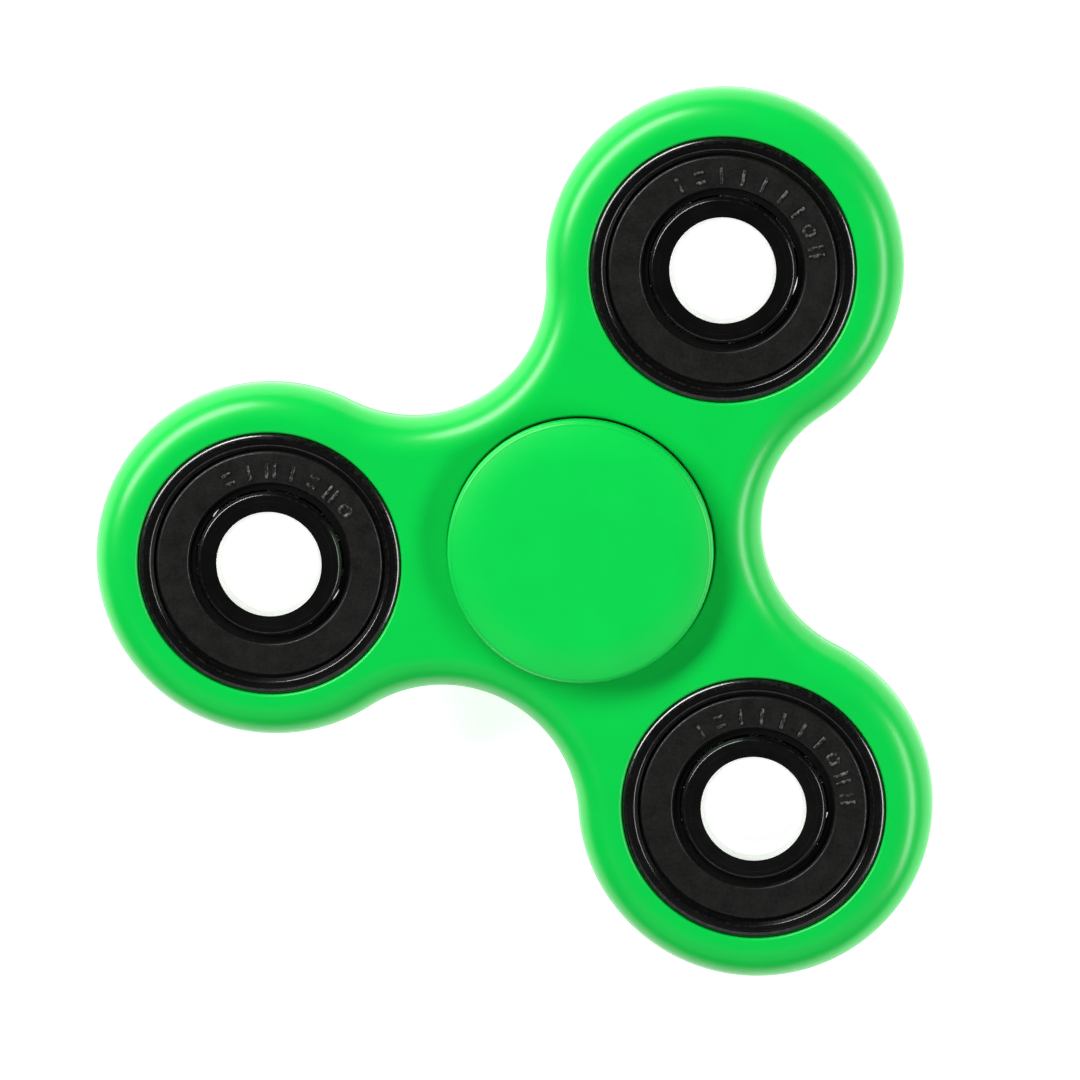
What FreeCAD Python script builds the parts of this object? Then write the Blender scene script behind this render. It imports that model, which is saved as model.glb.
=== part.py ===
import FreeCAD, Part
import math
import os
import Sketcher

# A three-lobed finger spinner: a moulded body, four 608 ball bearings and two finger caps.
# The spinning axis is Z, the front faces +Z, and the origin is the middle of the hub bearing.
# Lobes stand at 60, 180 and 300 degrees, counted from +X.

doc = FreeCAD.newDocument("FidgetSpinner")

# ---------------------------------------------------------------- driving sizes, in mm

DRIVING_SIZES = [
    # moulded body
    ("lobe_distance", 26.0),
    ("lobe_radius", 14.8),
    ("body_thickness", 7.0),
    ("body_rounding", 3.0),
    ("pocket_rounding", 0.25),
    # 608 bearing: standard outside, bore, width and ball
    ("bearing_outside", 22.0),
    ("bearing_bore", 8.0),
    ("bearing_width", 7.0),
    ("ball_count", 7),
    ("ball_diameter", 3.969),
    ("ball_play", 0.04),
    ("race_radius", 2.064),
    ("shoulder_width", 2.05),
    ("ring_corner", 0.5),
    ("bore_edge_width", 0.38),
    ("bore_edge_depth", 0.8),
    ("shoulder_chamfer", 0.25),
    # seal and its seat in the outer ring
    ("seat_radius", 9.8),
    ("mouth_radius", 9.65),
    ("mouth_lead_in", 0.3),
    ("seat_floor", 2.5),
    ("seat_ceiling", 3.0),
    ("seal_recess", 0.3),
    ("seal_back", 2.6),
    ("lip_play", 0.1),
    ("lip_width", 0.5),
    ("lip_drop", 0.35),
    ("seal_bead", 0.35),
    # pressed cage and its rivets
    ("cage_inside", 6.55),
    ("cage_outside", 8.45),
    ("cage_sheet", 0.35),
    ("cage_play", 0.06),
    ("rivet_radius", 0.35),
    ("rivet_head_radius", 0.6),
    ("rivet_head_height", 0.25),
    # finger caps
    ("cap_radius", 11.0),
    ("cap_underside", 3.95),
    ("cap_top", 6.0),
    ("cap_flat_radius", 7.4),
    ("cap_dome_radius", 10.0),
    ("cap_edge_rounding", 0.6),
    ("cap_lower_rounding", 0.3),
    ("cap_shoulder_radius", 5.25),
    ("stem_play", 0.02),
    ("stem_end", 0.15),
    ("pin_radius", 2.2),
    ("pin_play", 0.01),
    ("pin_reach", 3.05),
    ("socket_depth", 3.3),
    ("pin_chamfer", 0.4),
]

LOBE_ANGLES = {"upper": 60, "left": 180, "lower": 300}

sheet = doc.addObject("Spreadsheet::Sheet", "Sizes")
for row, (alias, value) in enumerate(DRIVING_SIZES, start=1):
    sheet.set(f"A{row}", alias)
    sheet.set(f"B{row}", str(value))
    sheet.setAlias(f"B{row}", alias)
doc.recompute()


def size(alias):
    """The expression that reads one driving size."""
    return f"Sizes.{alias}"


# ---------------------------------------------------------------- sizes worked out from them

OUTER_RADIUS = f"{size('bearing_outside')} / 2"
BORE_RADIUS = f"{size('bearing_bore')} / 2"
HALF_WIDTH = f"{size('bearing_width')} / 2"
PITCH_RADIUS = f"({size('bearing_outside')} + {size('bearing_bore')}) / 4"
BALL_RADIUS = f"{size('ball_diameter')} / 2"
INNER_LAND = f"{BORE_RADIUS} + {size('shoulder_width')}"
OUTER_LAND = f"{OUTER_RADIUS} - {size('shoulder_width')}"
SEAL_FACE = f"{HALF_WIDTH} - {size('seal_recess')}"
WAIST_RADIUS = f"{size('lobe_distance')} - {size('lobe_radius')}"
RACE_OFFSET = f"{size('race_radius')} - {BALL_RADIUS} - {size('ball_play')}"
OUTER_RACE_CENTRE = f"{PITCH_RADIUS} - ({RACE_OFFSET})"
INNER_RACE_CENTRE = f"{PITCH_RADIUS} + {RACE_OFFSET}"
RACE_HALF_MOUTH = (
    f"sqrt(({size('race_radius')})^2 - ({OUTER_LAND} - ({OUTER_RACE_CENTRE}))^2)"
)
CAGE_POCKET = f"{BALL_RADIUS} + {size('cage_play')}"
CAGE_DOME = f"{CAGE_POCKET} + {size('cage_sheet')}"
CAGE_ROOM = f"{size('cage_outside')} + 2"
STEM_RADIUS = f"{BORE_RADIUS} - {size('stem_play')}"
CAP_EDGE = (
    f"{size('cap_top')} - {size('cap_dome_radius')} + sqrt(({size('cap_dome_radius')})^2"
    f" - ({size('cap_radius')} - {size('cap_flat_radius')})^2)"
)


def worth(expression):
    """The number that an expression gives now."""
    return float(sheet.evalExpression(expression))


# ---------------------------------------------------------------- helpers for bodies and sketches


def new_body(name):
    """A body whose label names its file."""
    body = doc.addObject("PartDesign::Body", name)
    body.Label = name
    return body


def origin_part(body, role):
    """One of a body's own origin planes or axes."""
    return next(f for f in body.Origin.OriginFeatures if f.Role == role)


def new_sketch(body, name, role):
    """A sketch on one of a body's origin planes."""
    sketch = body.newObject("Sketcher::SketchObject", name)
    sketch.AttachmentSupport = (origin_part(body, role), [""])
    sketch.MapMode = "FlatFace"
    return sketch


def bind_distance(sketch, direction, geometry, point, expression):
    """Hold one coordinate of a point at an expression, counted from the sketch's origin."""
    value = worth(expression)
    if abs(value) < 1e-9:
        axis = -2 if direction == "X" else -1
        sketch.addConstraint(Sketcher.Constraint("PointOnObject", geometry, point, axis))
        return
    held = Sketcher.Constraint(f"Distance{direction}", -1, 1, geometry, point, value)
    index = sketch.addConstraint(held)
    sketch.setExpression(f"Constraints[{index}]", expression)


def draw_outline(sketch, corners, arcs=None):
    """A closed outline through corners given as expressions.

    arcs maps the number of a side to (radius, centre x, centre y, clockwise).
    """
    arcs = arcs or {}
    count = len(corners)
    places = [FreeCAD.Vector(worth(x), worth(y), 0) for x, y in corners]
    starts, ends, sides = [], [], []
    for number in range(count):
        begin = places[number]
        finish = places[(number + 1) % count]
        if number in arcs:
            radius, centre_x, centre_y, clockwise = arcs[number]
            centre = FreeCAD.Vector(worth(centre_x), worth(centre_y), 0)
            angles = [math.atan2(p.y - centre.y, p.x - centre.x) for p in (begin, finish)]
            if clockwise:
                angles.reverse()
            circle = Part.Circle(centre, FreeCAD.Vector(0, 0, 1), worth(radius))
            sides.append(sketch.addGeometry(Part.ArcOfCircle(circle, *angles), False))
            starts.append(2 if clockwise else 1)
            ends.append(1 if clockwise else 2)
        else:
            sides.append(sketch.addGeometry(Part.LineSegment(begin, finish), False))
            starts.append(1)
            ends.append(2)
    for number in range(count):
        after = (number + 1) % count
        joined = (sides[number], ends[number], sides[after], starts[after])
        sketch.addConstraint(Sketcher.Constraint("Coincident", *joined))
    for number, (x, y) in enumerate(corners):
        bind_distance(sketch, "X", sides[number], starts[number], x)
        bind_distance(sketch, "Y", sides[number], starts[number], y)
    for number, (radius, *_) in arcs.items():
        held = Sketcher.Constraint("Radius", sides[number], worth(radius))
        index = sketch.addConstraint(held)
        sketch.setExpression(f"Constraints[{index}]", radius)
    return sides


def draw_circle(sketch, x, y, radius):
    """A circle whose centre and radius are expressions."""
    centre = FreeCAD.Vector(worth(x), worth(y), 0)
    circle = Part.Circle(centre, FreeCAD.Vector(0, 0, 1), worth(radius))
    side = sketch.addGeometry(circle, False)
    bind_distance(sketch, "X", side, 3, x)
    bind_distance(sketch, "Y", side, 3, y)
    index = sketch.addConstraint(Sketcher.Constraint("Radius", side, worth(radius)))
    sketch.setExpression(f"Constraints[{index}]", radius)


def turn_about_axis(body, sketch, name, cut=False, axis=None):
    """A full turn of a sketch, about Z or about a line of the sketch."""
    kind = "PartDesign::Groove" if cut else "PartDesign::Revolution"
    feature = body.newObject(kind, name)
    feature.Profile = sketch
    feature.ReferenceAxis = axis or (origin_part(body, "Z_Axis"), [""])
    feature.Angle = 360
    return feature


def repeat_for_balls(body, feature, name):
    """Equal copies of one feature around Z, one for each ball."""
    pattern = body.newObject("PartDesign::PolarPattern", name)
    pattern.Originals = [feature]
    pattern.Axis = (origin_part(body, "Z_Axis"), [""])
    pattern.Angle = 360
    pattern.setExpression("Occurrences", size("ball_count"))
    body.Tip = pattern
    doc.recompute()
    return pattern


def ring_edges(feature, radius, height):
    """The names of round edges about Z with a given radius and height above or below the middle."""
    names = []
    for number, edge in enumerate(feature.Shape.Edges, start=1):
        if not isinstance(edge.Curve, Part.Circle):
            continue
        centre = edge.Curve.Center
        level = abs(abs(centre.z) - height) < 1e-4
        central = math.hypot(centre.x, centre.y) < 1e-4
        if level and central and abs(edge.Curve.Radius - radius) < 1e-4:
            names.append(f"Edge{number}")
    return names


def dress_edges(body, kind, name, base, edges, expression):
    """A fillet or chamfer on named edges."""
    feature = body.newObject(f"PartDesign::{kind}", name)
    feature.Base = (base, edges)
    binding = "Radius" if kind == "Fillet" else "Size"
    feature.setExpression(binding, expression)
    doc.recompute()
    return feature


def place(piece, x="0", y="0", flipped=False, spun=0):
    """Stand a piece at a place given as expressions, turned over for the back or spun about Z."""
    turn = FreeCAD.Rotation(FreeCAD.Vector(1, 0, 0), 180 if flipped else 0)
    spin = FreeCAD.Rotation(FreeCAD.Vector(0, 0, 1), spun)
    where = FreeCAD.Vector(worth(x), worth(y), 0)
    piece.Placement = FreeCAD.Placement(where, spin.multiply(turn))
    piece.setExpression("Placement.Base.x", x)
    piece.setExpression("Placement.Base.y", y)


pieces = []

# ---------------------------------------------------------------- moulded body

# Lobes and hollow waists sit on the six corners of a hexagon, so that each lobe's arc runs
# into the next waist's arc with no corner.
body = new_body("spinner_body")
pieces.append(body)
outline = new_sketch(body, "Outline", "XY_Plane")
corners, arcs = [], {}
for step in range(6):
    angle, angle_before = 60 * step, 60 * step - 60
    is_waist = step % 2 == 0
    radius = WAIST_RADIUS if is_waist else size("lobe_radius")
    radius_before = size("lobe_radius") if is_waist else WAIST_RADIUS
    corners.append(
        (
            f"({radius}) * cos({angle_before} deg) + ({radius_before}) * cos({angle} deg)",
            f"({radius}) * sin({angle_before} deg) + ({radius_before}) * sin({angle} deg)",
        )
    )
    centre_x = f"{size('lobe_distance')} * cos({angle} deg)"
    centre_y = f"{size('lobe_distance')} * sin({angle} deg)"
    arcs[step] = (radius, centre_x, centre_y, is_waist)
draw_outline(outline, corners, arcs)
slab = body.newObject("PartDesign::Pad", "Slab")
slab.Profile = outline
slab.SideType = "Symmetric"
slab.setExpression("Length", size("body_thickness"))
doc.recompute()

half_thickness = worth(size("body_thickness")) / 2
rim = [
    f"Edge{number}"
    for number, edge in enumerate(slab.Shape.Edges, start=1)
    if abs(abs(edge.CenterOfMass.z) - half_thickness) < 1e-4
]
rounded = dress_edges(body, "Fillet", "RoundedRim", slab, rim, size("body_rounding"))

pocket_outline = new_sketch(body, "PocketOutline", "XY_Plane")
pocket_places = [("0", "0")]
for angle in LOBE_ANGLES.values():
    pocket_places.append(
        (
            f"{size('lobe_distance')} * cos({angle} deg)",
            f"{size('lobe_distance')} * sin({angle} deg)",
        )
    )
for x, y in pocket_places:
    draw_circle(pocket_outline, x, y, OUTER_RADIUS)
pockets = body.newObject("PartDesign::Pocket", "BearingPockets")
pockets.Profile = pocket_outline
pockets.SideType = "Symmetric"
pockets.setExpression("Length", f"{size('body_thickness')} * 2")
doc.recompute()
if pockets.Shape.Volume > rounded.Shape.Volume - 1000:
    raise RuntimeError("the bearing pockets cut nothing")

mouths = []
for number, edge in enumerate(pockets.Shape.Edges, start=1):
    level = abs(abs(edge.CenterOfMass.z) - half_thickness) < 1e-4
    round_edge = isinstance(edge.Curve, Part.Circle)
    if level and round_edge and abs(edge.Curve.Radius - worth(OUTER_RADIUS)) < 1e-4:
        mouths.append(f"Edge{number}")
dress_edges(body, "Fillet", "RoundedMouths", pockets, mouths, size("pocket_rounding"))

# ---------------------------------------------------------------- finger caps

# Each cap is a disc, flat in the middle, with a shoulder that rests on the hub bearing's inner
# ring and a stem in its bore. The front cap's pin is pressed into the back cap's socket.


def finger_cap(name, has_pin):
    """One cap, drawn as the front one."""
    cap = new_body(name)
    profile = new_sketch(cap, f"{name}_profile", "XZ_Plane")
    if has_pin:
        pin = f"{size('pin_radius')} - {size('pin_play')}"
        pin_end = f"{size('stem_end')} - {size('pin_reach')}"
        middle = [
            ("0", pin_end),
            (f"{pin} - {size('pin_chamfer')}", pin_end),
            (pin, f"{pin_end} + {size('pin_chamfer')}"),
            (pin, size("stem_end")),
        ]
    else:
        socket_floor = f"{size('stem_end')} + {size('socket_depth')}"
        middle = [
            ("0", socket_floor),
            (size("pin_radius"), socket_floor),
            (size("pin_radius"), size("stem_end")),
        ]
    below = [
        (STEM_RADIUS, size("stem_end")),
        (STEM_RADIUS, HALF_WIDTH),
        (size("cap_shoulder_radius"), HALF_WIDTH),
        (size("cap_shoulder_radius"), size("cap_underside")),
        (size("cap_radius"), size("cap_underside")),
    ]
    above = [
        (size("cap_radius"), CAP_EDGE),
        (size("cap_flat_radius"), size("cap_top")),
        ("0", size("cap_top")),
    ]
    dome = (
        size("cap_dome_radius"),
        size("cap_flat_radius"),
        f"{size('cap_top')} - {size('cap_dome_radius')}",
        False,
    )
    draw_outline(profile, middle + below + above, {len(middle) + len(below): dome})
    disc = turn_about_axis(cap, profile, f"{name}_disc")
    doc.recompute()
    upper = ring_edges(disc, worth(size("cap_radius")), worth(CAP_EDGE))
    edge = dress_edges(
        cap, "Fillet", f"{name}_edge", disc, upper, size("cap_edge_rounding")
    )
    lower = ring_edges(edge, worth(size("cap_radius")), worth(size("cap_underside")))
    dress_edges(
        cap, "Fillet", f"{name}_lower_edge", edge, lower, size("cap_lower_rounding")
    )
    return cap


front_cap = finger_cap("front_cap", has_pin=True)
back_cap = finger_cap("back_cap", has_pin=False)
place(back_cap, flipped=True)
pieces += [front_cap, back_cap]

# ---------------------------------------------------------------- ball bearings


def outer_ring(name):
    """The ring with the outer race, a seal seat with a lead-in at each face and rounded corners."""
    ring = new_body(name)
    profile = new_sketch(ring, f"{name}_profile", "XZ_Plane")
    front = [
        (OUTER_LAND, RACE_HALF_MOUTH),
        (OUTER_LAND, size("seat_floor")),
        (size("seat_radius"), size("seat_floor")),
        (size("seat_radius"), size("seat_ceiling")),
        (size("mouth_radius"), size("seat_ceiling")),
        (size("mouth_radius"), f"{HALF_WIDTH} - {size('mouth_lead_in')}"),
        (f"{size('mouth_radius')} + {size('mouth_lead_in')}", HALF_WIDTH),
        (OUTER_RADIUS, HALF_WIDTH),
    ]
    back = [(x, f"-({z})") for x, z in reversed(front)]
    corners = [*reversed(front), *reversed(back)]
    race = (size("race_radius"), OUTER_RACE_CENTRE, "0", True)
    draw_outline(profile, corners, {len(front) - 1: race})
    turned = turn_about_axis(ring, profile, f"{name}_turned")
    doc.recompute()
    edges = ring_edges(turned, worth(OUTER_RADIUS), worth(HALF_WIDTH))
    dress_edges(ring, "Fillet", f"{name}_corners", turned, edges, size("ring_corner"))
    return ring


def inner_ring(name):
    """The ring with the inner race, a bore with long edge chamfers and chamfered shoulders."""
    ring = new_body(name)
    profile = new_sketch(ring, f"{name}_profile", "XZ_Plane")
    front = [
        (INNER_LAND, RACE_HALF_MOUTH),
        (INNER_LAND, HALF_WIDTH),
        (f"{BORE_RADIUS} + {size('bore_edge_width')}", HALF_WIDTH),
        (BORE_RADIUS, f"{HALF_WIDTH} - {size('bore_edge_depth')}"),
    ]
    back = [(x, f"-({z})") for x, z in reversed(front)]
    corners = [*front, *back]
    race = (size("race_radius"), INNER_RACE_CENTRE, "0", True)
    draw_outline(profile, corners, {len(corners) - 1: race})
    turned = turn_about_axis(ring, profile, f"{name}_turned")
    doc.recompute()
    shoulders = ring_edges(turned, worth(INNER_LAND), worth(HALF_WIDTH))
    dress_edges(
        ring, "Chamfer", f"{name}_shoulders", turned, shoulders, size("shoulder_chamfer")
    )
    return ring


def seal(name):
    """A rubber-faced washer: a low lip by the inner ring, a raised face and a bead in its seat."""
    washer = new_body(name)
    profile = new_sketch(washer, f"{name}_profile", "XZ_Plane")
    lip_inside = f"{INNER_LAND} + {size('lip_play')}"
    lip_outside = f"{lip_inside} + {size('lip_width')}"
    lip_face = f"{SEAL_FACE} - {size('lip_drop')}"
    face_outside = f"{size('mouth_radius')} - {size('seal_bead')}"
    rim_face = f"{size('seat_ceiling')} - 0.1"
    corners = [
        (lip_inside, size("seal_back")),
        (f"{OUTER_LAND} + 0.05", size("seal_back")),
        (f"{size('seat_radius')} - 0.05", size("seal_back")),
        (f"{size('seat_radius')} - 0.05", rim_face),
        (f"{size('mouth_radius')} - 0.1", rim_face),
        (face_outside, SEAL_FACE),
        (f"{lip_outside} + 0.1", SEAL_FACE),
        (lip_outside, lip_face),
        (lip_inside, lip_face),
    ]
    draw_outline(profile, corners)
    turn_about_axis(washer, profile, f"{name}_turned")
    doc.recompute()
    return washer


def cage_half(name):
    """A pressed ribbon: a flat band with seven domes over the balls and a rivet hole between."""
    cage = new_body(name)
    band = new_sketch(cage, f"{name}_band", "XZ_Plane")
    draw_outline(
        band,
        [
            (size("cage_inside"), "0"),
            (size("cage_outside"), "0"),
            (size("cage_outside"), size("cage_sheet")),
            (size("cage_inside"), size("cage_sheet")),
        ],
    )
    turn_about_axis(cage, band, f"{name}_flat")
    doc.recompute()
    for part_name, radius, cut in (("dome", CAGE_DOME, False), ("hollow", CAGE_POCKET, True)):
        quarter = new_sketch(cage, f"{name}_{part_name}_profile", "XZ_Plane")
        corners = [
            (PITCH_RADIUS, "0"),
            (f"{PITCH_RADIUS} + {radius}", "0"),
            (PITCH_RADIUS, radius),
        ]
        draw_outline(quarter, corners, {1: (radius, PITCH_RADIUS, "0", False)})
        upright = Part.LineSegment(
            FreeCAD.Vector(worth(PITCH_RADIUS), 0, 0),
            FreeCAD.Vector(worth(PITCH_RADIUS), 1, 0),
        )
        line = quarter.addGeometry(upright, True)
        quarter.addConstraint(Sketcher.Constraint("Coincident", line, 1, 0, 1))
        quarter.addConstraint(Sketcher.Constraint("Vertical", line))
        turned = turn_about_axis(
            cage, quarter, f"{name}_{part_name}", cut, (quarter, ["Axis0"])
        )
        doc.recompute()
        repeat_for_balls(cage, turned, f"{name}_{part_name}s")
    trim = new_sketch(cage, f"{name}_trim_profile", "XZ_Plane")
    for inside, outside in (
        (f"{size('cage_inside')} - 2", size("cage_inside")),
        (size("cage_outside"), CAGE_ROOM),
    ):
        draw_outline(
            trim,
            [
                (inside, "-1"),
                (outside, "-1"),
                (outside, f"{CAGE_DOME} + 1"),
                (inside, f"{CAGE_DOME} + 1"),
            ],
        )
    turn_about_axis(cage, trim, f"{name}_trim", cut=True)
    doc.recompute()
    hole = new_sketch(cage, f"{name}_rivet_hole_outline", "XY_Plane")
    draw_circle(
        hole,
        f"({PITCH_RADIUS}) * cos(180 deg / {size('ball_count')})",
        f"({PITCH_RADIUS}) * sin(180 deg / {size('ball_count')})",
        size("rivet_radius"),
    )
    drilled = cage.newObject("PartDesign::Pocket", f"{name}_rivet_hole")
    drilled.Profile = hole
    drilled.SideType = "Symmetric"
    drilled.setExpression("Length", f"{size('cage_sheet')} * 4")
    doc.recompute()
    repeat_for_balls(cage, drilled, f"{name}_rivet_holes")
    return cage


def cage_rivets(name):
    """Seven rivets that clamp the two cage halves together between the balls."""
    rivets = new_body(name)
    rivets.AllowCompound = True
    profile = new_sketch(rivets, f"{name}_profile", "XZ_Plane")
    head = f"{size('cage_sheet')} + {size('rivet_head_height')}"
    across = {
        "axis": PITCH_RADIUS,
        "shank": f"{PITCH_RADIUS} + {size('rivet_radius')}",
        "crown": f"{PITCH_RADIUS} + {size('rivet_radius')}",
        "head": f"{PITCH_RADIUS} + {size('rivet_head_radius')}",
    }
    draw_outline(
        profile,
        [
            (across["axis"], f"-({head})"),
            (across["crown"], f"-({head})"),
            (across["head"], f"-({size('cage_sheet')})"),
            (across["shank"], f"-({size('cage_sheet')})"),
            (across["shank"], size("cage_sheet")),
            (across["head"], size("cage_sheet")),
            (across["crown"], head),
            (across["axis"], head),
        ],
    )
    upright = Part.LineSegment(
        FreeCAD.Vector(worth(PITCH_RADIUS), 0, 0),
        FreeCAD.Vector(worth(PITCH_RADIUS), 1, 0),
    )
    line = profile.addGeometry(upright, True)
    profile.addConstraint(Sketcher.Constraint("PointOnObject", line, 1, -1))
    profile.addConstraint(Sketcher.Constraint("PointOnObject", line, 1, 7))
    profile.addConstraint(Sketcher.Constraint("Vertical", line))
    rivet = turn_about_axis(rivets, profile, f"{name}_rivet", axis=(profile, ["Axis0"]))
    doc.recompute()
    repeat_for_balls(rivets, rivet, f"{name}_all")
    return rivets


def ball(name, x, y, number):
    """One steel ball on the pitch circle."""
    angle = f"({360 * number} deg / {size('ball_count')})"
    made = doc.addObject("Part::Sphere", name)
    made.Label = name
    made.setExpression("Radius", BALL_RADIUS)
    place(
        made,
        f"{x} + ({PITCH_RADIUS}) * cos{angle}",
        f"{y} + ({PITCH_RADIUS}) * sin{angle}",
    )
    return made


def bearing(name, x="0", y="0"):
    """Every piece of one bearing, standing at one place."""
    ball_count = round(worth(size("ball_count")))
    made = [outer_ring(f"{name}_outer_ring"), inner_ring(f"{name}_inner_ring")]
    for ring in made:
        place(ring, x, y)
    for side in ("front", "back"):
        for half in (seal(f"{name}_{side}_seal"), cage_half(f"{name}_{side}_cage")):
            place(half, x, y, flipped=side == "back")
            made.append(half)
    rivets = cage_rivets(f"{name}_cage_rivets")
    place(rivets, x, y, spun=180 / ball_count)
    made.append(rivets)
    for number in range(ball_count):
        made.append(ball(f"{name}_ball_{number + 1}", x, y, number))
    return made


pieces += bearing("hub_bearing")
for lobe, angle in LOBE_ANGLES.items():
    pieces += bearing(
        f"{lobe}_bearing",
        f"{size('lobe_distance')} * cos({angle} deg)",
        f"{size('lobe_distance')} * sin({angle} deg)",
    )

# ---------------------------------------------------------------- check and write

doc.recompute()
faults = [made.Name for made in doc.Objects if {"Invalid", "Error"} & set(made.State)]
for piece in pieces:
    if piece.Shape.isNull() or not piece.Shape.isValid():
        faults.append(piece.Label)
if faults:
    raise RuntimeError(f"these objects failed: {faults}")

os.makedirs("parts", exist_ok=True)
for piece in pieces:
    piece.Shape.exportStep(os.path.join("parts", f"{piece.Label}.step"))
print(f"{len(pieces)} pieces written")
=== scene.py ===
import math

import bmesh
import bpy
from mathutils import Matrix, Vector


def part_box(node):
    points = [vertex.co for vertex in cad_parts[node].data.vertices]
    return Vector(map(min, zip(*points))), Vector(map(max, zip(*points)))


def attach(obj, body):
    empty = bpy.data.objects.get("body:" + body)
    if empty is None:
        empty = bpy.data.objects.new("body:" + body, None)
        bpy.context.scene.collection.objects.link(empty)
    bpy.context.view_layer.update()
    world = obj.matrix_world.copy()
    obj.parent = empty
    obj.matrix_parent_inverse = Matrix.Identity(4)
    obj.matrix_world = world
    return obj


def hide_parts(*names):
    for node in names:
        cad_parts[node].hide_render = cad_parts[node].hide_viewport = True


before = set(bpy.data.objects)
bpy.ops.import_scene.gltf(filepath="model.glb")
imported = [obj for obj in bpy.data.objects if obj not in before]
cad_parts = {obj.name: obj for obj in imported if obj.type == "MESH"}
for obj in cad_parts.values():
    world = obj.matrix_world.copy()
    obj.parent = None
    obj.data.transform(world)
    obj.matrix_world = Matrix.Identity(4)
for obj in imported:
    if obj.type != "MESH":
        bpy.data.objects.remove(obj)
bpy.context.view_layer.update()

# ---------------------------------------------------------------------------
# Studio. The spinner lies on its back cap on a white light table, with a strip
# softbox at its upper left, another at its right and a weak one at its lower side.
# The camera looks down almost straight from above through a long lens.

scene = bpy.context.scene
scene.view_settings.view_transform = "Standard"

mm = 0.001
table_gap = 0.03 * mm
table_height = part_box("back_cap")[0].z - table_gap
table_reach = 1.2
table_corners = [(-1, -1), (1, -1), (1, 1), (-1, 1)]
table_mesh = bpy.data.meshes.new("light_table")
table_mesh.from_pydata(
    [(x * table_reach, y * table_reach, table_height) for x, y in table_corners], [], [(0, 1, 2, 3)]
)
light_table = bpy.data.objects.new("light_table", table_mesh)
scene.collection.objects.link(light_table)


def new_material(name):
    """A material with its node tree and its shader's inputs."""
    material = bpy.data.materials.new(name)
    material.use_nodes = True
    tree = material.node_tree
    return material, tree, tree.nodes["Principled BSDF"].inputs


table_finish, table_tree, table_shader = new_material("white_light_table")
table_shader["Base Color"].default_value = (0.9, 0.9, 0.9, 1)
table_shader["Roughness"].default_value = 0.6
table_shader["Emission Color"].default_value = (1, 1, 1, 1)
table_shader["Emission Strength"].default_value = 0.8
table_mesh.materials.append(table_finish)

scene.world = bpy.data.worlds.new("dim_room")
scene.world.use_nodes = True
room_light = scene.world.node_tree.nodes["Background"].inputs
room_light["Color"].default_value = (1, 1, 1, 1)
room_light["Strength"].default_value = 0.02


def softbox(name, azimuth, elevation, distance, width, height, power):
    """A rectangular area light that faces the spinner: angles in degrees, power in watts."""
    lamp = bpy.data.lights.new(name, "AREA")
    lamp.shape = "RECTANGLE"
    lamp.size, lamp.size_y, lamp.energy = width, height, power
    stand = bpy.data.objects.new(name, lamp)
    turn, lift = math.radians(azimuth), math.radians(elevation)
    stand.location = distance * Vector(
        (math.cos(lift) * math.cos(turn), math.cos(lift) * math.sin(turn), math.sin(lift))
    )
    stand.rotation_euler = stand.location.to_track_quat("Z", "Y").to_euler()
    scene.collection.objects.link(stand)


softbox("left_softbox", 135, 35, 0.55, 0.56, 0.13, 4.4)
softbox("right_softbox", -14, 34, 0.55, 0.5, 0.13, 2.3)
softbox("near_softbox", -95, 45, 0.6, 0.8, 0.5, 0.6)

# The lens and sensor are in millimetres. The hub stands off the middle of the view by a
# share of the view's width, to the right and up.
lens_length, sensor_width = 239.5, 36.0
camera_distance = 0.5971
lean_right, lean_up = 0.065, 0.162
camera_turn = math.radians(-3.49)
hub_right, hub_up = 0.04074, -0.00204
view_width = sensor_width / lens_length

towards_camera = Vector((lean_right, lean_up, 1.0)).normalized()
level_right = (-towards_camera).cross(Vector((0, 1, 0))).normalized()
level_up = level_right.cross(-towards_camera)
aim = (-towards_camera - view_width * (hub_right * level_right + hub_up * level_up)).normalized()
camera_right = aim.cross(Vector((0, 1, 0))).normalized()
camera_up = camera_right.cross(aim)
camera_data = bpy.data.cameras.new("overhead_camera")
camera_data.lens, camera_data.sensor_width = lens_length, sensor_width
camera = bpy.data.objects.new("overhead_camera", camera_data)
stance = Matrix((camera_right, camera_up, -aim)).transposed().to_4x4()
stance.translation = towards_camera * camera_distance
camera.matrix_world = Matrix.Rotation(camera_turn, 4, "Z") @ stance
scene.collection.objects.link(camera)
scene.camera = camera

# ---------------------------------------------------------------------------
# Moulded body. One injection-moulded piece of glossy green ABS, with three
# round lobes and three hollow waists that run into each other, fully rounded
# edges, a fine parting line half way up, and a pocket for each bearing.

body_low, body_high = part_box("spinner_body")
body_thickness = body_high.z - body_low.z
lobe_reach = -body_low.x
ring_low, ring_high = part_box("left_bearing_outer_ring")
pocket_radius = (ring_high.x - ring_low.x) / 2
lobe_distance = -(ring_high.x + ring_low.x) / 2
lobe_radius = lobe_reach - lobe_distance
rim_rounding = 3.0 * mm
mouth_rounding = 0.25 * mm
parting_line_depth, parting_line_width = 0.03 * mm, 0.14 * mm
flat_lead = 0.05 * mm
weld_gap = 0.002 * mm
lobe_steps, waist_steps, pocket_steps, rounding_steps = 192, 96, 160, 16
double_vertex_gap = 0.0001 * mm
crease_angle = math.radians(38)
lobe_angles = {"upper": math.radians(60), "left": math.radians(180), "lower": math.radians(300)}
lobe_centres = {
    lobe: Vector((lobe_distance * math.cos(angle), lobe_distance * math.sin(angle), 0))
    for lobe, angle in lobe_angles.items()
}


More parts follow.
